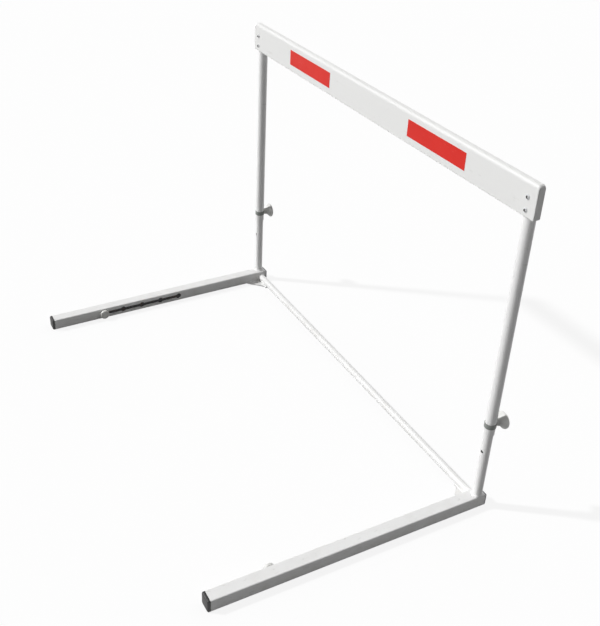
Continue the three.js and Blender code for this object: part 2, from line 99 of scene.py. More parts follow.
class Wire:
    """One output of a material's nodes. Sums, differences and products of it add Math nodes."""

    def __init__(self, tree, socket):
        self.tree = tree
        self.socket = socket

    def node(self, kind, settings, sockets, output=0):
        """A new node from its type, its settings, and the values or links of its sockets."""
        made = self.tree.nodes.new(kind)
        for name, value in settings.items():
            setattr(made, name, value)
        for name, value in sockets.items():
            if isinstance(value, Wire):
                self.tree.links.new(value.socket, made.inputs[name])
            else:
                made.inputs[name].default_value = value
        return Wire(self.tree, made.outputs[output])

    def maths(self, operation, *values):
        """A Math node over these values."""
        return self.node("ShaderNodeMath", {"operation": operation}, dict(enumerate(values)))

    def __add__(self, other):
        return self.maths("ADD", self, other)

    def __sub__(self, other):
        return self.maths("SUBTRACT", self, other)

    def __rsub__(self, other):
        return self.maths("SUBTRACT", other, self)

    def __mul__(self, other):
        return self.maths("MULTIPLY", self, other)

    __radd__ = __add__
    __rmul__ = __mul__

    def rise(self, low, high):
        """0 below low, 1 above high, and a soft step between them."""
        values = {"Value": self, "From Min": low, "From Max": high}
        return self.node("ShaderNodeMapRange", {"interpolation_type": "SMOOTHSTEP"}, values)

    def mix(self, first, second):
        """The first colour where this is 0 and the second where it is 1."""
        values = {0: self, 6: first, 7: second}
        return self.node("ShaderNodeMix", {"data_type": "RGBA"}, values, output=2)

    def stretched(self, scale):
        """These coordinates, scaled along each axis."""
        return self.node("ShaderNodeMapping", {}, {"Vector": self, "Scale": scale})

    def noise(self, scale, detail=2, roughness=0.5):
        """Soft noise over these coordinates, from 0 to 1, with so many lumps to the metre."""
        settings = {"noise_dimensions": "3D"}
        values = {"Vector": self, "Scale": scale, "Detail": detail, "Roughness": roughness}
        return self.node("ShaderNodeTexNoise", settings, values)

    def part(self, axis):
        """One of the three coordinates."""
        return self.node("ShaderNodeSeparateXYZ", {}, {"Vector": self}, output="XYZ".index(axis))


def finish(name, look, **fixed):
    """A material whose look takes its Object coordinates and gives colour, roughness and relief.
    The relief is a height from 0 to 1 and its depth in metres; fixed values go on the shader."""
    material = bpy.data.materials.new(name)
    material.use_nodes = True
    tree = material.node_tree
    shader = tree.nodes["Principled BSDF"]
    coordinates = tree.nodes.new("ShaderNodeTexCoord")
    place = Wire(tree, coordinates.outputs["Object"])
    colour, roughness, height, depth = look(place)
    normal = place.node("ShaderNodeBump", {}, {"Height": height, "Distance": depth})
    for socket, value in (("Base Color", colour), ("Roughness", roughness), ("Normal", normal)):
        tree.links.new(value.socket, shader.inputs[socket])
    for socket, value in fixed.items():
        shader.inputs[socket.replace("_", " ")].default_value = value
    return material


def powder_coat(place):
    """White coat with a fine orange peel, faint clouds, small scuffs, and brownish patches that
    darken it towards the floor.
    """
    scuffs = place.stretched((1, 0.35, 1)).noise(90, 5, 0.7).rise(0.6, 0.7)
    # Patches within 5 cm of the floor are darker and browner.
    darker_near_floor = (1 - place.part("Z").rise(0.0, 0.05)) * place.noise(25, 4, 0.6).rise(0.35, 0.8)
    clouds = place.noise(4, 3).mix((0.87, 0.87, 0.865, 1), (0.9, 0.9, 0.895, 1))
    worn = (scuffs * 0.5).mix(clouds, (0.62, 0.62, 0.6, 1))
    colour = (darker_near_floor * 0.4).mix(worn, (0.5, 0.47, 0.42, 1))
    roughness = place.noise(30, 3) * 0.12 + scuffs * 0.15 + 0.3
    peel = place.noise(650, 2) * 0.7 + scuffs * 0.3
    return colour, roughness, peel, coat_relief


painted_steel = finish("white_powder_coat", powder_coat, Coat_Weight=0.15)


def built(name, grids, material, mirrored=False):
    """One mesh over grids of points: neighbours make a quad that faces along the first parameter
    crossed with the second, and grids that share a line of points are sewn together there."""
    corners, quads, start = [], [], 0
    for grid in grids:
        rows, columns = grid.shape[:2]
        index = start + np.arange(rows * columns).reshape(rows, columns)
        ring = [index[:-1, :-1], index[1:, :-1], index[1:, 1:], index[:-1, 1:]]
        quads.append(np.stack(ring, axis=-1).reshape(-1, 4))
        corners.append(grid.reshape(-1, 3))
        start += rows * columns
    quads = np.concatenate(quads)
    if mirrored:
        quads = quads[:, ::-1]
    mesh = bpy.data.meshes.new(name)
    mesh.from_pydata(np.concatenate(corners).tolist(), [], quads.tolist())
    sewn = bmesh.new()
    sewn.from_mesh(mesh)
    bmesh.ops.remove_doubles(sewn, verts=sewn.verts, dist=seam_width)
    sewn.to_mesh(mesh)
    sewn.free()
    mesh.materials.append(material)
    piece = bpy.data.objects.new(name, mesh)
    bpy.context.scene.collection.objects.link(piece)
    smooth(piece)
    return piece


def smooth(piece):
    """Smooth shading, but for edges that turn by more than the limit, with wide faces kept flat."""
    piece.data.polygons.foreach_set("use_smooth", np.ones(len(piece.data.polygons), bool))
    piece.data.set_sharp_from_angle(angle=smooth_limit)
    flattening = piece.modifiers.new("normals", "WEIGHTED_NORMAL")
    flattening.keep_sharp = True


def settled(piece):
    """The piece keeps the shape that its modifiers give it."""
    bpy.context.view_layer.update()
    finished = piece.evaluated_get(bpy.context.evaluated_depsgraph_get())
    mesh = bpy.data.meshes.new_from_object(finished)
    piece.modifiers.clear()
    piece.data = mesh
    smooth(piece)
    return piece


def eased(piece, edge_round):
    """The piece's sharp edges are rounded a little."""
    rounding = piece.modifiers.new("edges", "BEVEL")
    rounding.width = edge_round
    rounding.segments = 2
    rounding.limit_method = "ANGLE"
    rounding.angle_limit = smooth_limit
    return settled(piece)


def walled(piece, wall, edge_round):
    """The piece's skin gets its wall on the inside, and its edges are rounded a little."""
    thickness = piece.modifiers.new("wall", "SOLIDIFY")
    thickness.thickness = wall
    thickness.offset = -1
    thickness.use_even_offset = True
    return eased(piece, edge_round)


def stands_for(piece, node):
    """The piece moves as the CAD node that it is shown instead of, and that node is hidden."""
    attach(piece, body_of[node])
    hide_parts(node)
    return piece


def arc(centre, radius, first, last, steps):
    """Points on a circle from one angle to another, in degrees."""
    angle = np.radians(np.linspace(first, last, steps + 1))
    x, y = centre[0] + radius * np.cos(angle), centre[1] + radius * np.sin(angle)
    return np.stack([x, y], axis=-1)


def keyhole_outline(first_keyhole):
    """Places along the leg, and the hole's half height at each: the larger of the slot's
    half height and the height of the nearest keyhole's circle there."""
    meeting = np.arcsin(slot_half_height / keyhole_radius)
    turn = np.linspace(np.pi - meeting, meeting, keyhole_steps)
    middle = first_keyhole + keyhole_pitch * np.arange(keyhole_count)
    along = (middle[:, None] + keyhole_radius * np.cos(turn)).ravel()
    end_turn = np.linspace(np.pi, np.pi - meeting, keyhole_steps // 2, endpoint=False)
    before = middle[0] + keyhole_radius * np.cos(end_turn)
    after = middle[-1] - keyhole_radius * np.cos(end_turn[::-1])
    along = np.concatenate([before, along, after])
    offset = np.abs(along[:, None] - middle).min(axis=1)
    circle = np.sqrt(np.clip(keyhole_radius**2 - offset**2, 0, None))
    inside = (along > middle[0]) & (along < middle[-1])
    return along, np.where(inside, np.maximum(circle, slot_half_height), circle)


def leg_skin(middle, half, front, rear, side, first_keyhole):
    """The leg's outer skin. Three sides and the corners are the square outline, carried along the
    leg. The slotted side is two strips, each between the keyholes' outline and a corner."""
    flat = half - leg_corner_round
    outline = np.concatenate([
        arc((flat, -flat), leg_corner_round, 0, -90, leg_corner_steps),
        arc((-flat, -flat), leg_corner_round, -90, -180, leg_corner_steps),
        arc((-flat, flat), leg_corner_round, -180, -270, leg_corner_steps),
        arc((flat, flat), leg_corner_round, -270, -360, leg_corner_steps),
    ])
    hole_along, hole_half = keyhole_outline(first_keyhole)
    along = np.concatenate([[front], hole_along, [rear]])
    half_height = np.concatenate([[0], hole_half, [0]])
    rise = half_height[:, None] + (flat - half_height[:, None]) * strip_shares

    def grid(inward, up):
        """Points so far inward and up from the leg's middle line, at each place along it."""
        inward, up, run = np.broadcast_arrays(inward, up, along[:, None])
        return np.stack([middle[0] - side * inward, run, middle[1] + up], axis=-1)

    around = grid(outline[None, :, 0], outline[None, :, 1])
    return [around, grid(half, rise)[:, ::-1], grid(half, -rise)]


for name, side in sides:
    low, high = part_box(f"{name}_leg")
    knob_low, knob_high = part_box(f"{name}_weight_knob")
    first_keyhole = (knob_low.y + knob_high.y) / 2
    middle = ((low.x + high.x) / 2, (low.z + high.z) / 2)
    grids = leg_skin(middle, (high.z - low.z) / 2, low.y, high.y, side, first_keyhole)
    leg = built(f"{name}_leg_tube", grids, painted_steel, mirrored=side < 0)
    stands_for(walled(leg, leg_wall, cut_edge_round), f"{name}_leg")


# End caps: moulded plastic with a plug pressed into each end of a leg. The front ones are black
# with a slightly swollen face, the rear ones dark grey with a large rounding.
cap_seat = 0.0003
cap_plug_depth = 0.018
cap_plug_inset = 0.0023
cap_plug_chamfer = 0.0006
cap_corner_steps = 8
cap_round_steps = 6
black_relief = 0.00008
grey_relief = 0.00006


def placed(start, axis, across, up, along):
    """Points from their distances across, up and along an axis from a start. A ring that turns from
    across to up faces outwards as it goes along."""
    axis = np.array(axis, float)
    first = np.roll(np.abs(axis), 1)
    parts = zip((across, up, along), (first, np.cross(axis, first), axis))
    return np.array(start) + sum(np.asarray(distance)[..., None] * way for distance, way in parts)


def square_outline(half, corner_round):
    """A square's outline with rounded corners, turning from the first direction to the second."""
    flat = half - corner_round
    corners = zip((flat, -flat, -flat, flat), (flat, flat, -flat, -flat), (0, 90, 180, 270))
    arcs = [arc((x, y), corner_round, turn, turn + 90, cap_corner_steps) for x, y, turn in corners]
    ring = np.concatenate(arcs)
    return np.concatenate([ring, ring[:1]])


def cap_moulding(start, axis, half, thickness, edge_round, pillow):
    """A plug, and a flange whose edge is a quarter circle and whose face is a low pillow: each ring
    is the leg's outline drawn in by an inset, at a distance along the axis."""
    plug = half - cap_plug_inset
    rim = thickness - pillow
    quarter = arc((half - edge_round, rim - edge_round), edge_round, 0, 90, cap_round_steps)
    swell = np.linspace(1, 0, cap_round_steps)[1:]
    face = np.stack([(half - edge_round) * swell, rim + pillow * (1 - swell**2)], axis=-1)
    plug_side = [
        (0, -cap_plug_depth), (plug - cap_plug_chamfer, -cap_plug_depth),
        (plug, cap_plug_chamfer - cap_plug_depth), (plug, cap_seat), (half, cap_seat),
    ]
    profile = np.concatenate([plug_side, quarter, face])
    outlines = [square_outline(size, min(leg_corner_round, size)) for size in profile[:, 0]]
    rings = np.stack(outlines, axis=1)
    along = np.broadcast_to(profile[:, 1], rings.shape[:2])
    return placed(start, axis, rings[..., 0], rings[..., 1], along)


def black_moulding(place):
    """Black plastic with a fine spark-eroded grain and pale scuffs."""
    scuffs = place.noise(160, 6, 0.75).rise(0.6, 0.72)
    colour = (scuffs * 0.35).mix((0.022, 0.021, 0.021, 1), (0.14, 0.135, 0.13, 1))
    grain = place.noise(1500, 2) * 0.6 + scuffs * 0.4
    return colour, place.noise(90, 3) * 0.2 + 0.4, grain, black_relief


def grey_moulding(place):
    """Dark grey plastic with a fine grain and faint cloudiness."""
    colour = place.noise(40, 4, 0.6).mix((0.18, 0.18, 0.2, 1), (0.26, 0.26, 0.285, 1))
    return colour, place.noise(90, 3) * 0.2 + 0.4, place.noise(1500, 2), grey_relief


black_plastic = finish("black_cap_plastic", black_moulding)
grey_plastic = finish("grey_cap_plastic", grey_moulding)
# Each cap's end and direction, the flange's thickness, edge round and pillow, and the plastic.
caps = (
    ("front", -1, 0.008, 0.0035, 0.0005, black_plastic),
    ("rear", 1, 0.006, 0.0055, 0.0, grey_plastic),
)
for name, side in sides:
    low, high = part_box(f"{name}_leg")
    for end, direction, thickness, edge_round, pillow, plastic in caps:
        start = ((low.x + high.x) / 2, high.y if direction > 0 else low.y, (low.z + high.z) / 2)
        half = (high.z - low.z) / 2
        grid = cap_moulding(start, (0, direction, 0), half, thickness, edge_round, pillow)
        stands_for(built(f"{name}_{end}_cap_moulding", [grid], plastic), f"{name}_{end}_cap")


# Cross tube: round steel tube between the legs' rear ends, a little above the floor. It is welded
# to both legs and powder coated with them.
round_sides = 96
tube_end_round = 0.0005


def turned(profile, start, axis):
    """A profile of radius and distance, turned about an axis."""
    angle = np.linspace(0, 2 * np.pi, round_sides + 1)[:, None]
    radius, along = np.asarray(profile, float).T
    along = np.broadcast_to(along, (len(angle), len(along)))
    return placed(start, axis, radius * np.cos(angle), radius * np.sin(angle), along)


low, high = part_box("cross_tube")
tube_radius = (high.z - low.z) / 2
tube_length = high.x - low.x
tube_start = (low.x, (low.y + high.y) / 2, (low.z + high.z) / 2)
profile = [
    (0, 0), (tube_radius - tube_end_round, 0), (tube_radius, tube_end_round),
    (tube_radius, tube_length - tube_end_round), (tube_radius - tube_end_round, tube_length),
    (0, tube_length),
]
pipe = built("cross_tube_pipe", [turned(profile, tube_start, (1, 0, 0))], painted_steel)
stands_for(pipe, "cross_tube")


# Corner plates: flat steel plates cut to five corners. Each lies on the floor under an end of the
# cross tube, and is welded along the leg and the tube.
plate_edge = 0.0005
gusset_tip = 0.008
tube_y = tube_start[1]


def plate(outline, thickness, edge, start, axis):
    """A flat plate: its outline is drawn in a little at both faces, and each face closes at its
    middle. The outline turns from across to up."""
    ring = np.asarray(outline, float)
    before, after = ring - np.roll(ring, 1, axis=0), np.roll(ring, -1, axis=0) - ring
    before /= np.linalg.norm(before, axis=1)[:, None]
    after /= np.linalg.norm(after, axis=1)[:, None]
    bisector = before + after
    inward = np.stack([-bisector[:, 1], bisector[:, 0]], axis=-1)
    inward /= np.linalg.norm(inward, axis=1)[:, None]
    middle = np.broadcast_to(ring.mean(axis=0), ring.shape)
    drawn_in = ring + edge * inward
    rings = np.stack([middle, drawn_in, ring, ring, drawn_in, middle], axis=1)
    rings = np.concatenate([rings, rings[:1]])
    along = np.broadcast_to([0, 0, edge, thickness - edge, thickness, thickness], rings.shape[:2])
    return placed(start, axis, rings[..., 0], rings[..., 1], along)


for name, side in sides:
    low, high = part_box(f"{name}_gusset")
    outer, inner = (high.x, low.x) if side > 0 else (low.x, high.x)
    tube_rear, tube_front = tube_y + tube_radius, tube_y - tube_radius
    points = [
        (outer, tube_rear), (inner, tube_rear), (inner, tube_front),
        (inner + side * gusset_tip, tube_front), (outer, low.y),
    ]
    outline = points if side > 0 else points[::-1]
    grid = plate(outline, high.z - low.z, plate_edge, (0, 0, low.z), (0, 0, 1))
    stands_for(built(f"{name}_gusset_plate", [grid], painted_steel), f"{name}_gusset")


# Welds: fillet beads with fine ripples, coated over with the rest. They run round the foot of each
# upright, round the cross tube's ends, and along the corner plates.
foot_bead = 0.0045
tube_bead = 0.003
plate_bead = 0.0025
bead_squareness = 1.5
bead_back = -0.1
bead_steps = 8
ripple_length = 0.0019
ripple_share = 0.035
bead_step = 0.0004
bead_overhang = 0.9
tube_bead_degrees = (-35, 216, 2.5)
plate_line_y = tube_y - tube_radius / 2
plate_bead_rise = (0, -0.5, 0.87)


def bead(corner, first, second, size, closed=False):
    """A fillet swept along a corner line. Its section runs from the first surface to the second on
    a superellipse's quarter and closes behind the corner; its size swells with each ripple."""
    turn = np.linspace(0, np.pi / 2, bead_steps + 1)
    out = np.concatenate([[bead_back], np.cos(turn) ** bead_squareness, [bead_back]])
    up = np.concatenate([[bead_back], np.sin(turn) ** bead_squareness, [bead_back]])
    run = np.concatenate([[0], np.cumsum(np.linalg.norm(np.diff(corner, axis=0), axis=1))])
    ripples = np.round(run[-1] / ripple_length)
    swell = size * (1 + ripple_share * np.sin(2 * np.pi * ripples * run / run[-1]))
    if not closed:
        swell = swell * np.sqrt(np.clip(np.minimum(run, run[-1] - run) / size, 0, 1))
    along_first = np.atleast_2d(first)[:, None] * out[:, None]
    along_second = np.atleast_2d(second)[:, None] * up[:, None]
    return corner[:, None] + swell[:, None, None] * (along_first + along_second)


def sweep(first, last):
    """Even steps from one place to another along a line."""
    count = int(np.linalg.norm(np.subtract(last, first)) / bead_step)
    return np.linspace(first, last, count + 1)


def weld(name, grid, mirrored=False):
    """A bead of the base, coated like the tubes that it joins."""
    piece = built(name, [grid], painted_steel, mirrored)
    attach(piece, "base")


for name, side in sides:
    leg_low, leg_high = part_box(f"{name}_leg")
    leg_half = (leg_high.z - leg_low.z) / 2
    leg_middle = (leg_low.x + leg_high.x) / 2
    leg_side = leg_middle - side * leg_half
    low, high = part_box(f"{name}_inner_upright")
    foot_radius = (high.x - low.x) / 2
    foot_middle = np.array([(low.x + high.x) / 2, (low.y + high.y) / 2, leg_high.z])
    turn = np.linspace(0, 2 * np.pi, int(2 * np.pi * foot_radius / bead_step) + 1)
    outwards = np.stack([np.cos(turn), np.sin(turn), 0 * turn], axis=-1)
    grid = bead(foot_middle + foot_radius * outwards, outwards, (0, 0, 1), foot_bead, closed=True)
    flat_half = leg_half - leg_corner_round
    most_past = bead_overhang * leg_corner_round
    past = np.clip(side * (grid[..., 0] - leg_middle) - flat_half, 0, most_past)
    grid[..., 0] = np.where(past > 0, leg_middle + side * (flat_half + past), grid[..., 0])
    grid[..., 2] -= leg_corner_round - np.sqrt(leg_corner_round**2 - past**2)
    weld(f"{name}_foot_weld", grid)

    turn = np.radians(np.arange(*tube_bead_degrees))
    outwards = np.stack([0 * turn, np.cos(turn), np.sin(turn)], axis=-1)
    middle = np.array([leg_side, *tube_start[1:]])
    grid = bead(middle + tube_radius * outwards, outwards, (-side, 0, 0), tube_bead)
    weld(f"{name}_tube_weld", grid, mirrored=side > 0)

    low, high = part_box(f"{name}_gusset")
    line = sweep((leg_side, low.y, high.z), (leg_side, tube_y - tube_radius, high.z))
    grid = bead(line, (-side, 0, 0), (0, 0, 1), plate_bead)
    weld(f"{name}_leg_plate_weld", grid, mirrored=side > 0)
    inner_end = low.x if side > 0 else high.x
    first_x, last_x = sorted((leg_side, inner_end))
    line = sweep((first_x, plate_line_y, high.z), (last_x, plate_line_y, high.z))
    weld(f"{name}_tube_plate_weld", bead(line, (0, -1, 0), plate_bead_rise, plate_bead))


# Inner uprights: thin round steel tubes welded onto the legs, with index holes drilled through
# front and back for the height lock. Sliding has left faint upright rub marks in the coat.
inner_wall = 0.0015
index_hole_radius = 0.0041
lowest_index_hole = 0.1658
index_pitch = 0.0762
index_count = 5
patch_half_height = 0.0065
patch_half_turn = np.radians(33.75)
patch_steps = 12
patch_shares = np.array([0, 0.5, 0.85, 1])
side_steps = 20


def on_tube(middle, radius, angle, height):
    """Points on an upright tube from their radius, angles and heights."""
    radius, angle, height = np.broadcast_arrays(radius, angle, height)
    return placed((*middle, 0), (0, 0, 1), radius * np.cos(angle), radius * np.sin(angle), height)


def indexed_tube(middle, radius, wall, foot, top, hole_heights):
    """A tube with drilled holes. On its outside and in its bore, each hole is a patch that passes
    from a square in angle and height to the drill's circle; plain strips fill the rest. A drill
    keeps its width through the wall, so the two circles lie straight behind each other."""
    turn = np.linspace(-patch_half_turn, patch_half_turn, patch_steps + 1)
    rise = np.linspace(-patch_half_height, patch_half_height, patch_steps + 1)
    ends_turn = np.full_like(turn, patch_half_turn)
    ends_rise = np.full_like(rise, patch_half_height)
    square = np.concatenate([
        np.stack([turn, -ends_rise], axis=-1),
        np.stack([ends_turn, rise], axis=-1)[1:],
        np.stack([turn[::-1], ends_rise], axis=-1)[1:],
        np.stack([-ends_turn, rise[::-1]], axis=-1)[1:],
    ])
    way = np.arctan2(square[:, 1] / patch_half_height, square[:, 0] / patch_half_turn)
    across, up = index_hole_radius * np.cos(way), index_hole_radius * np.sin(way)
    patch_ends = [height + end for height in hole_heights for end in rise[[0, -1]]]
    plain_lengths = np.array([foot, *patch_ends, top]).reshape(-1, 2)
    lines = np.concatenate([[foot], *(height + rise for height in hole_heights), [top]])
    bore = radius - wall
    grids = []
    for facing in (-np.pi / 2, np.pi / 2):
        first, last = facing + patch_half_turn, facing + np.pi - patch_half_turn
        beside = np.linspace(first, last, side_steps + 1)
        for size, order in ((radius, 1), (bore, -1)):
            circle = np.stack([np.arcsin(across / size), up], axis=-1)
            patch = square[:, None] + (circle - square)[:, None] * patch_shares[:, None]
            patch_turn, patch_rise = facing + patch[..., 0], patch[..., 1]
            for height in hole_heights:
                grids.append(on_tube(middle, size, patch_turn, height + patch_rise)[::order])
            for ends in plain_lengths:
                grids.append(on_tube(middle, size, facing + turn[:, None], ends)[::order])
            grids.append(on_tube(middle, size, beside[:, None], lines)[::order])
        sizes = np.array([radius, bore])
        rim_turn = facing + np.arcsin(across[:, None] / sizes)
        for height in hole_heights:
            grids.append(on_tube(middle, sizes, rim_turn, height + up[:, None]))
        for angle in (facing + turn, beside):
            for height, order in ((foot, -1), (top, 1)):
                grids.append(on_tube(middle, sizes, angle[::order, None], height))
    return grids


def rubbed_coat(place):
    """The white coat with upright rub marks where the outer tube slides."""
    colour, roughness, height, depth = powder_coat(place)
    rubs = place.stretched((1, 1, 0.02)).noise(500, 3, 0.6).rise(0.56, 0.68)
    return (rubs * 0.18).mix(colour, (0.6, 0.6, 0.58, 1)), roughness + rubs * 0.1, height, depth


rubbed_steel = finish("white_rubbed_coat", rubbed_coat, Coat_Weight=0.15)
for name, side in sides:
    low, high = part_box(f"{name}_inner_upright")
    middle = ((low.x + high.x) / 2, (low.y + high.y) / 2)
    hole_heights = lowest_index_hole + index_pitch * np.arange(index_count)
    grids = indexed_tube(middle, (high.x - low.x) / 2, inner_wall, low.z, high.z, hole_heights)
    pipe = built(f"{name}_inner_pipe", grids, rubbed_steel)
    stands_for(eased(pipe, cut_edge_round), f"{name}_inner_upright")


# Outer uprights: round steel tubes that slide over the inner ones. The front half is cut away at
# the top, so that the bar sits in the notch against the rear half. The rear is drilled for the
# lock pin.
outer_wall = 0.0012
notch_gap = 0.0003
rear_steps = 44
front_steps = 52


def notched_tube(middle, radius, foot, notch, top, cut):
    """A full ring up to the notch, and above it the arc that lies behind the cut."""
    edge = np.arcsin(cut / radius)
    rear = np.linspace(edge, np.pi - edge, rear_steps + 1)
    front = np.linspace(np.pi - edge, 2 * np.pi + edge, front_steps + 1)
    whole = np.concatenate([rear, front[1:]])
    below = on_tube(middle, radius, whole[:, None], np.array([foot, notch]))
    return [below, on_tube(middle, radius, rear[:, None], np.array([notch, top]))]


def drilled(piece, start, axis, depth):
    """The piece with a hole for the lock pin, cut by a plain rod along the axis."""
    profile = [(0, 0), (index_hole_radius, 0), (index_hole_radius, depth), (0, depth)]
    drill = built("drill", [turned(profile, start, axis)], painted_steel)
    cut = piece.modifiers.new("hole", "BOOLEAN")
    cut.operation = "DIFFERENCE"
    cut.object = drill
    settled(piece)
    bpy.data.objects.remove(drill)


bar_low, bar_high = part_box("top_bar")
for name, side in sides:
    low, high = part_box(f"{name}_outer_upright")
    pin_low, pin_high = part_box(f"{name}_lock_pin")
    middle = ((low.x + high.x) / 2, (low.y + high.y) / 2)
    cut = bar_high.y + notch_gap - middle[1]
    notch = bar_low.z - notch_gap
    grids = notched_tube(middle, (high.x - low.x) / 2, low.z, notch, high.z, cut)
    pipe = built(f"{name}_outer_pipe", grids, painted_steel)
    stands_for(walled(pipe, outer_wall, cut_edge_round), f"{name}_outer_upright")
    drilled(pipe, (*middle, (pin_low.z + pin_high.z) / 2), (0, 1, 0), high.y - low.y)


# Bar: a planed board, lacquered white, with its front edges rounded over. The red panels are
# vinyl sheets stuck to its front.
bar_rounds = {"front_top": 0.008, "rear_top": 0.004, "bottom": 0.0025}
bar_end_rounds = {"top": 0.008, "bottom": 0.003, "front": 0.0015, "rear": 0.0015}
bar_round_steps = 10
bar_end_steps = 12
bar_length_steps = 40
panel_edge = 0.00006
lacquer_relief = 0.00005
vinyl_relief = 0.00004


def bar_skin(low, high):
    """Rings from end to end. Each is the board's section with its four corners rounded, and near an
    end each side is drawn in by what a quarter circle takes away there."""
    reach = bar_end_rounds["top"] * (1 - np.cos(np.linspace(0, np.pi / 2, bar_end_steps + 1)))
    between = np.linspace(low.x + reach[-1], high.x - reach[-1], bar_length_steps + 1)[1:-1]
    station = np.concatenate([low.x + reach, between, high.x - reach[::-1]])
    depth = np.minimum(station - low.x, high.x - station)

    def drawn_in(side):
        """What the end's quarter circle takes off this side at each station."""
        radius = bar_end_rounds[side]
        return radius - np.sqrt(radius**2 - np.clip(radius - depth, 0, None) ** 2)

    front, rear = low.y + drawn_in("front"), high.y - drawn_in("rear")
    bottom, top = low.z + drawn_in("bottom"), high.z - drawn_in("top")
    corners = (
        (rear, bottom, bar_rounds["bottom"], -1, 1, -90),
        (rear, top, bar_rounds["rear_top"], -1, -1, 0),
        (front, top, bar_rounds["front_top"], 1, -1, 90),
        (front, bottom, bar_rounds["bottom"], 1, 1, 180),
    )
    rings = []
    for y, z, radius, inward_y, inward_z, turn in corners:
        centre = (inward_y * radius, inward_z * radius)
        quarter = arc(centre, radius, turn, turn + 90, bar_round_steps)
        rings.append(np.stack([y + quarter[:, :1], z + quarter[:, 1:]], axis=-1))
    ring = np.concatenate([*rings, rings[0][:1]])
    middle = np.broadcast_to(ring.mean(axis=0), ring.shape)
    ring = np.concatenate([middle[:, :1], ring, middle[:, -1:]], axis=1)
    station = np.concatenate([station[:1], station, station[-1:]])
    return np.concatenate([np.broadcast_to(station, ring.shape[:2])[..., None], ring], axis=-1)


def lacquered_board(place):
    """White lacquer over wood: long grain that just shows, faint clouds and a few rubbed marks."""
    grain = place.stretched((0.03, 1, 1)).noise(600, 4, 0.6)
    marks = place.stretched((0.3, 1, 1)).noise(70, 6, 0.7).rise(0.6, 0.72)
    clouds = place.noise(3, 3).mix((0.81, 0.81, 0.8, 1), (0.84, 0.84, 0.83, 1))
    colour = (marks * 0.35).mix(clouds, (0.62, 0.61, 0.58, 1))
    roughness = place.noise(25, 3) * 0.12 + marks * 0.2 + 0.34
    return colour, roughness, grain * 0.7 + marks * 0.3, lacquer_relief


def red_sheet(place):
    """Red vinyl: nearly even, with faint clouds, pale scratches and a soft orange peel."""
    scratches = place.stretched((0.15, 1, 1)).noise(350, 5, 0.7).rise(0.6, 0.7)
    clouds = place.noise(12, 3).mix((0.66, 0.02, 0.013, 1), (0.77, 0.031, 0.02, 1))
    colour = (scratches * 0.25).mix(clouds, (0.85, 0.3, 0.26, 1))
    roughness = place.noise(40, 3) * 0.15 + scratches * 0.2 + 0.38
    return colour, roughness, place.noise(300, 3), vinyl_relief


board = built("bar_board", [bar_skin(bar_low, bar_high)], finish("white_lacquer", lacquered_board))
stands_for(board, "top_bar")
red_vinyl = finish("red_vinyl_sheet", red_sheet, Specular_IOR_Level=0.25)
for name, side in sides:
    low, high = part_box(f"{name}_red_panel")
    half_height, half_length = (high.z - low.z) / 2, (high.x - low.x) / 2
    outline = [
        (half_height, half_length), (-half_height, half_length),
        (-half_height, -half_length), (half_height, -half_length),
    ]
    start = ((low.x + high.x) / 2, high.y, (low.z + high.z) / 2)
    grid = plate(outline, high.y - low.y, panel_edge, start, (0, -1, 0))
    stands_for(built(f"{name}_red_sheet", [grid], red_vinyl), f"{name}_red_panel")


# Bolts and nuts: zinc-plated steel. A low domed head with a six-sided socket sits on the bar's
# front, and a flange nut holds the bolt behind the tube. The sockets are filled with painted
# shade: a nearly black material.
bolt_radius = 0.003
head_radius = 0.005
head_height = 0.0028
head_squareness = 0.6
socket_half = 0.0024
socket_reach = 0.0029
socket_depth = 0.0034
nut_half = 0.005
flange_radius = 0.0065
chamfer = 0.0003
dome_steps = 12
flange_edge = 3 * chamfer
flange_top = 5 * chamfer
nut_bore = bolt_radius + 0.5 * chamfer
zinc_relief = 0.00003
socket_shade_relief = 0.00005


def faceted(profile, start, axis):
    """A turned profile whose rings may be six-sided: each row is a radius, a distance, and 1 for a
    hexagon of that half width across its flats or 0 for a circle."""
    angle = np.linspace(0, 2 * np.pi, round_sides + 1)[:, None]
    radius, along, six = np.asarray(profile, float).T
    sector = np.pi / 3
    radius = radius * (1 + six * (1 / np.cos(np.mod(angle, sector) - sector / 2) - 1))
    along = np.broadcast_to(along, radius.shape)
    return placed(start, axis, radius * np.cos(angle), radius * np.sin(angle), along)


def domed_bolt(tail):
    """Rows from the tail's end to the floor of the socket. The dome is part of a superellipse, so
    that its side stands steep and its top is low."""
    last_turn = np.arccos(((socket_half + 2 * chamfer) / head_radius) ** (1 / head_squareness))
    turn = np.linspace(0, last_turn, dome_steps + 1)
    out = head_radius * np.cos(turn) ** head_squareness
    up = head_height * np.sin(turn) ** head_squareness
    dome = np.stack([out, up, 0 * turn], axis=-1)
    rim = up[-1]
    return [
        (0, -tail, 0), (bolt_radius - chamfer, -tail, 0), (bolt_radius, chamfer - tail, 0),
        (bolt_radius, 0, 0), *dome, (socket_half, rim - chamfer, 1),
        (socket_half, rim - socket_depth, 1), (0, rim - socket_depth, 0),
    ]


def flange_nut(height):
    """Rows round the nut: flange, flats, chamfered top and bore."""
    top = height - 2 * chamfer
    return [
        (nut_bore, 0, 0), (flange_radius - chamfer, 0, 0), (flange_radius, chamfer, 0),
        (flange_radius, flange_edge, 0), (nut_half + 2 * chamfer, flange_top, 0),
        (nut_half, flange_top, 1), (nut_half, top, 1), (nut_half - chamfer, height, 0),
        (nut_bore + chamfer, height, 0), (nut_bore, height - chamfer, 0), (nut_bore, 0, 0),
    ]


def zinc_plate(place):
    """Dull zinc: cloudy grey with fine specks and small scratches."""
    clouds = place.noise(400, 4, 0.6).mix((0.5, 0.51, 0.52, 1), (0.62, 0.63, 0.64, 1))
    specks = place.noise(1600, 3, 0.6).rise(0.62, 0.7)
    colour = (specks * 0.4).mix(clouds, (0.3, 0.3, 0.3, 1))
    return colour, place.noise(300, 3) * 0.2 + 0.4, place.noise(1200, 3), zinc_relief


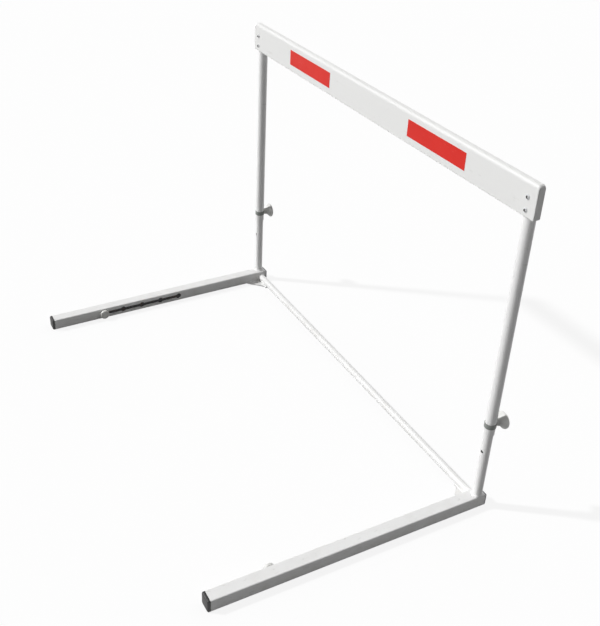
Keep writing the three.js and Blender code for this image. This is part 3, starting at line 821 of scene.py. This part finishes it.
def socket_shade_look(place):
    """Painted shade in the sockets: nearly black, dull and lumpy."""
    colour = place.noise(900, 3).mix((0.03, 0.03, 0.028, 1), (0.09, 0.085, 0.08, 1))
    return colour, place.noise(500, 2) * 0.2 + 0.6, place.noise(1500, 3), socket_shade_relief


def shade_painted_sockets(bolt, axis_x, axis_z, head_seat):
    """Painted shade on the faces near the bolt's axis, apart from those at its tail."""
    centre = np.empty((len(bolt.data.polygons), 3), np.float32)
    bolt.data.polygons.foreach_get("center", centre.ravel())
    near_axis = np.hypot(centre[:, 0] - axis_x, centre[:, 2] - axis_z) < socket_reach
    in_head = centre[:, 1] < head_seat + socket_depth
    bolt.data.materials.append(socket_shade_paint)
    shaded_faces = (near_axis & in_head).astype(np.int32)
    bolt.data.polygons.foreach_set("material_index", shaded_faces)


zinc = finish("zinc_plated_steel", zinc_plate, Metallic=0.3)
# The sockets' nearly black material is painted shade.
socket_shade_paint = finish("painted_socket_shade", socket_shade_look)
for name, side in sides:
    for level_name in ("upper", "lower"):
        low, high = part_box(f"{name}_{level_name}_bolt")
        start = ((low.x + high.x) / 2, low.y + head_height, (low.z + high.z) / 2)
        grid = faceted(domed_bolt(high.y - start[1]), start, (0, -1, 0))
        bolt = built(f"{name}_{level_name}_bolt_turned", [grid], zinc)
        shade_painted_sockets(bolt, start[0], start[2], start[1])
        stands_for(bolt, f"{name}_{level_name}_bolt")
        low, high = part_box(f"{name}_{level_name}_nut")
        start = ((low.x + high.x) / 2, low.y, (low.z + high.z) / 2)
        grid = faceted(flange_nut(high.y - low.y), start, (0, 1, 0))
        nut = built(f"{name}_{level_name}_nut_turned", [grid], zinc)
        stands_for(nut, f"{name}_{level_name}_nut")


# Height locks: a grey-green moulded band round each outer tube carries a barrel, and the mushroom
# knob of the spring pin runs over that barrel. Barrel and knob are pale plastic. The band's dark
# grey is partly painted shade: it also stands in for a shadow round the tube at that height.
band_wall = 0.001
band_edge = 0.0004
barrel_gap = 0.0003
barrel_radius = 0.0082
barrel_wall = 0.0022
barrel_end = 0.0261
stem_bore = 0.00265
knob_bore = 0.0085
knob_neck = 0.0097
knob_neck_length = 0.0025
knob_floor = 0.0309
knob_hole_end = 0.0355
knob_dome = 0.005
knob_rim = 0.002
knob_rim_round = 0.0007
knob_flare = 1.25
flare_steps = 16
rim_start_degrees = -80
small_round_steps = 4
pale_relief = 0.00004
band_relief = 0.00005


def saddled_barrel(band_radius):
    """Rings round the barrel: its front edge fits the band, so each point's distance there is that
    of the band's circle at the point's own x."""
    angle = np.linspace(0, 2 * np.pi, round_sides + 1)
    cavity = barrel_radius - barrel_wall
    cavity_end = barrel_end - barrel_wall

    def saddle(radius):
        """The band circle's distance at each point of a ring."""
        return np.sqrt(band_radius**2 - (radius * np.sin(angle)) ** 2)

    even = np.ones_like(angle)
    rows = (
        (cavity, saddle(cavity)), (barrel_radius, saddle(barrel_radius)),
        (barrel_radius, even * (barrel_end - chamfer)),
        (barrel_radius - chamfer, even * barrel_end), (stem_bore, even * barrel_end),
        (stem_bore, even * cavity_end), (cavity, even * cavity_end), (cavity, saddle(cavity)),
    )
    radius = np.stack([row[0] * even for row in rows], axis=-1)
    along = np.stack([row[1] for row in rows], axis=-1)
    return radius * np.cos(angle)[:, None], radius * np.sin(angle)[:, None], along


def mushroom(front, rear, head):
    """Rows from the stem's hole round the neck, up the flare, which widens as a power of the
    distance, over the rim and over the dome's quarter ellipse to the middle."""
    share = np.linspace(0, 1, flare_steps + 1)
    rim_rear = rear - knob_dome
    rim_front = rim_rear - knob_rim
    flare_start = front + knob_neck_length
    flare = np.stack([
        knob_neck + (head - knob_rim_round - knob_neck) * share**knob_flare,
        flare_start + (rim_front - flare_start) * share,
    ], axis=-1)
    rim_centre = (head - knob_rim_round, rim_front + knob_rim_round)
    rim = arc(rim_centre, knob_rim_round, rim_start_degrees, 0, small_round_steps)
    turn = np.linspace(0, np.pi / 2, dome_steps + 1)
    dome = np.stack([head * np.cos(turn), rim_rear + knob_dome * np.sin(turn)], axis=-1)
    inside = [
        (0, knob_hole_end), (stem_bore, knob_hole_end), (stem_bore, knob_floor),
        (knob_bore, knob_floor), (knob_bore, front + chamfer), (knob_bore + chamfer, front),
        (knob_neck - chamfer, front), (knob_neck, front + chamfer),
    ]
    return np.concatenate([inside, flare, rim, dome])


def pale_moulding(place):
    """Pale plastic, slightly cloudy, with a fine grain and a few grey rubs."""
    rubs = place.noise(140, 6, 0.7).rise(0.6, 0.72)
    clouds = place.noise(30, 3).mix((0.72, 0.72, 0.7, 1), (0.78, 0.78, 0.76, 1))
    colour = (rubs * 0.4).mix(clouds, (0.45, 0.45, 0.43, 1))
    return colour, place.noise(80, 3) * 0.2 + 0.35, place.noise(1400, 2), pale_relief


def band_moulding(place):
    """Grey-green plastic with a fine grain, rubbed paler here and there. Its dark grey is partly
    painted shade, for a shadow round the tube.
    """
    rubs = place.noise(220, 5, 0.7).rise(0.55, 0.72)
    # The band's dark grey is partly its own colour and partly painted shade.
    colour = (rubs * 0.5).mix((0.23, 0.245, 0.23, 1), (0.4, 0.41, 0.39, 1))
    return colour, place.noise(120, 3) * 0.25 + 0.3, place.noise(1300, 2), band_relief


pale_plastic = finish("pale_plastic_moulding", pale_moulding)
band_plastic_and_shade = finish("lock_band_painted_shade", band_moulding)
for name, side in sides:
    low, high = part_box(f"{name}_clamp_band")
    band_radius, band_height = (high.x - low.x) / 2, high.z - low.z
    axis = ((low.x + high.x) / 2, (low.y + high.y) / 2)
    edge_middle = band_radius - band_edge
    foot_edge = arc((edge_middle, band_edge), band_edge, -90, 0, small_round_steps)
    top_edge = arc((edge_middle, band_height - band_edge), band_edge, 0, 90, small_round_steps)
    bore = band_radius - band_wall
    ring = np.concatenate([[(bore, 0)], foot_edge, top_edge, [(bore, band_height), (bore, 0)]])
    band = built(f"{name}_band_moulding", [turned(ring, (*axis, low.z), (0, 0, 1))], band_plastic_and_shade)
    stands_for(band, f"{name}_clamp_band")

    low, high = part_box(f"{name}_lock_knob")
    start = (axis[0], axis[1], (low.z + high.z) / 2)
    drilled(band, start, (0, 1, 0), 2 * band_radius)
    grid = placed(start, (0, 1, 0), *saddled_barrel(band_radius + barrel_gap))
    stands_for(built(f"{name}_barrel_moulding", [grid], pale_plastic), f"{name}_lock_barrel")
    profile = mushroom(low.y - axis[1], high.y - axis[1], (high.x - low.x) / 2)
    knob = built(f"{name}_lock_mushroom", [turned(profile, start, (0, 1, 0))], pale_plastic)
    stands_for(knob, f"{name}_lock_knob")


# Weight knobs: round pale plastic knobs on the legs' inner sides, each with a collar that drops
# into a keyhole. The face has a raised rim round a shallow dish.
collar_radius = 0.008
collar_height = 0.0025
weight_stem_bore = 0.0041
weight_hole_depth = 0.0076
weight_knob_round = 0.002
weight_round_steps = 6
dish_radius = 0.0095
dish_depth = 0.0006
for name, side in sides:
    low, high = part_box(f"{name}_weight_knob")
    radius, length = (high.z - low.z) / 2, high.x - low.x
    start = (high.x if side > 0 else low.x, (low.y + high.y) / 2, (low.z + high.z) / 2)
    rim_centre = (radius - weight_knob_round, length - weight_knob_round)
    rim = arc(rim_centre, weight_knob_round, 0, 90, weight_round_steps)
    dish_floor = length - dish_depth
    profile = [
        (0, weight_hole_depth), (weight_stem_bore, weight_hole_depth), (weight_stem_bore, 0),
        (collar_radius - chamfer, 0), (collar_radius, chamfer), (collar_radius, collar_height),
        (radius - chamfer, collar_height), (radius, collar_height + chamfer), *rim,
        (dish_radius + dish_depth, length), (dish_radius, dish_floor), (0, dish_floor),
    ]
    knob = built(f"{name}_weight_button", [turned(profile, start, (-side, 0, 0))], pale_plastic)
    stands_for(knob, f"{name}_weight_knob")


# Pins, stems, springs and the iron weights are hidden or nearly so, and keep their CAD shapes.
# Each is given its metal here: zinc-plated steel, and cast iron for the weights. The iron's
# near-black is partly painted shade, for the dark inside of the leg seen through its slot.
iron_relief = 0.0002


def dark_weight_and_slot_shade(place):
    """Dark cast iron: grainy, with brown rust in patches. Its near-black is partly painted shade
    for the leg's dark inside behind the slot.
    """
    rust = place.noise(60, 6, 0.7).rise(0.52, 0.66)
    # Near-black: partly the iron's own colour, partly painted shade for the inside of the leg.
    colour = (rust * 0.6).mix((0.03, 0.03, 0.032, 1), (0.09, 0.045, 0.025, 1))
    return colour, place.noise(200, 3) * 0.2 + 0.6, place.noise(500, 5, 0.7), iron_relief


weight_iron_and_shade = finish("dark_weight_and_slot_shade", dark_weight_and_slot_shade, Metallic=0.3)
plain_nodes = {
    "lock_pin": zinc, "lock_spring": zinc, "weight_stem": zinc, "weight_spring": zinc,
    "weight": weight_iron_and_shade,
}
for name, side in sides:
    for node, metal in plain_nodes.items():
        bpy.data.objects[f"{name}_{node}"].material_slots[0].material = metal


# Floor, light and backdrop: a wide floor, one sun from over the runner's left shoulder, and a sky
# that grows brighter towards the rear and has a narrow bright part in front. The floor and the
# backdrop show white to the camera.
floor_half_width = 30
sun_from = np.array([-0.42, -0.613, 0.669])
sun_strength = 2.6
sun_width_degrees = 2.5
rear_light_from = (-0.36, 0.93, -0.03)
rear_light_level = 0.08
rear_light_slope = 1.48
front_light_from = (-0.01, -1, -0.03)
front_light_strength = 5.9
front_light_tightness = 6
floor_bounce = (0.2, 0.2, 0.2, 1)
floor_shown = (1, 1, 1, 1)
white_share = 0.86


def seen(place):
    """1 for rays from the camera, mirrors and glass, and 0 for the rays that light a surface."""
    path = place.tree.nodes.new("ShaderNodeLightPath")
    kinds = ("Is Camera Ray", "Is Glossy Ray", "Is Transmission Ray")
    rays = [Wire(place.tree, path.outputs[kind]) for kind in kinds]
    return rays[0].maths("MAXIMUM", rays[0], rays[1].maths("MAXIMUM", rays[1], rays[2]))


floor_paint = bpy.data.materials.new("floor_paint")
floor_paint.use_nodes = True
tree = floor_paint.node_tree
tree.nodes.clear()
shown = seen(Wire(tree, None))
matt = shown.node("ShaderNodeBsdfDiffuse", {}, {"Color": shown.mix(floor_bounce, floor_shown)})
glow = shown.node("ShaderNodeEmission", {}, {"Color": (1, 1, 1, 1), "Strength": 1.0})
both = shown.node("ShaderNodeMixShader", {}, {0: shown * white_share, 1: matt, 2: glow})
out = tree.nodes.new("ShaderNodeOutputMaterial")
tree.links.new(both.socket, out.inputs["Surface"])
reach = np.array([-floor_half_width, floor_half_width])
floor_grid = np.stack(np.broadcast_arrays(reach[:, None], reach[None, :], 0.0), axis=-1)
built("floor", [floor_grid], floor_paint)

sun = bpy.data.objects.new("sun", bpy.data.lights.new("sun", "SUN"))
sun.data.energy = sun_strength
sun.data.angle = np.radians(sun_width_degrees)
sun_across = np.cross([0, 0, 1], sun_from)
sun_across /= np.linalg.norm(sun_across)
sun_axis = sun_from / np.linalg.norm(sun_from)
sun_up = np.cross(sun_axis, sun_across)
sun.matrix_world = Matrix(np.stack([sun_across, sun_up, sun_axis], axis=1)).to_4x4()
bpy.context.scene.collection.objects.link(sun)

world = bpy.data.worlds.new("sky")
world.use_nodes = True
tree = world.node_tree
tree.nodes.clear()
towards = Wire(tree, tree.nodes.new("ShaderNodeTexCoord").outputs["Generated"])
product = {"operation": "DOT_PRODUCT"}
rearwards, frontwards = (
    towards.node("ShaderNodeVectorMath", product, {0: towards, 1: way}, output=1)
    for way in (rear_light_from, front_light_from)
)
front_share = towards.maths("MAXIMUM", frontwards, 0.0)
front_light = towards.maths("POWER", front_share, front_light_tightness)
sky_light = rearwards * rear_light_slope + front_light * front_light_strength + rear_light_level
sky_strength = towards.maths("MAXIMUM", sky_light, 0.0)
lit = towards.node("ShaderNodeBackground", {}, {"Strength": sky_strength})
white = towards.node("ShaderNodeBackground", {}, {"Color": (1, 1, 1, 1)})
sky = towards.node("ShaderNodeMixShader", {}, {0: seen(towards), 1: lit, 2: white})
out = tree.nodes.new("ShaderNodeOutputWorld")
tree.links.new(sky.socket, out.inputs["Surface"])
bpy.context.scene.world = world
bpy.context.scene.view_settings.view_transform = "Standard"
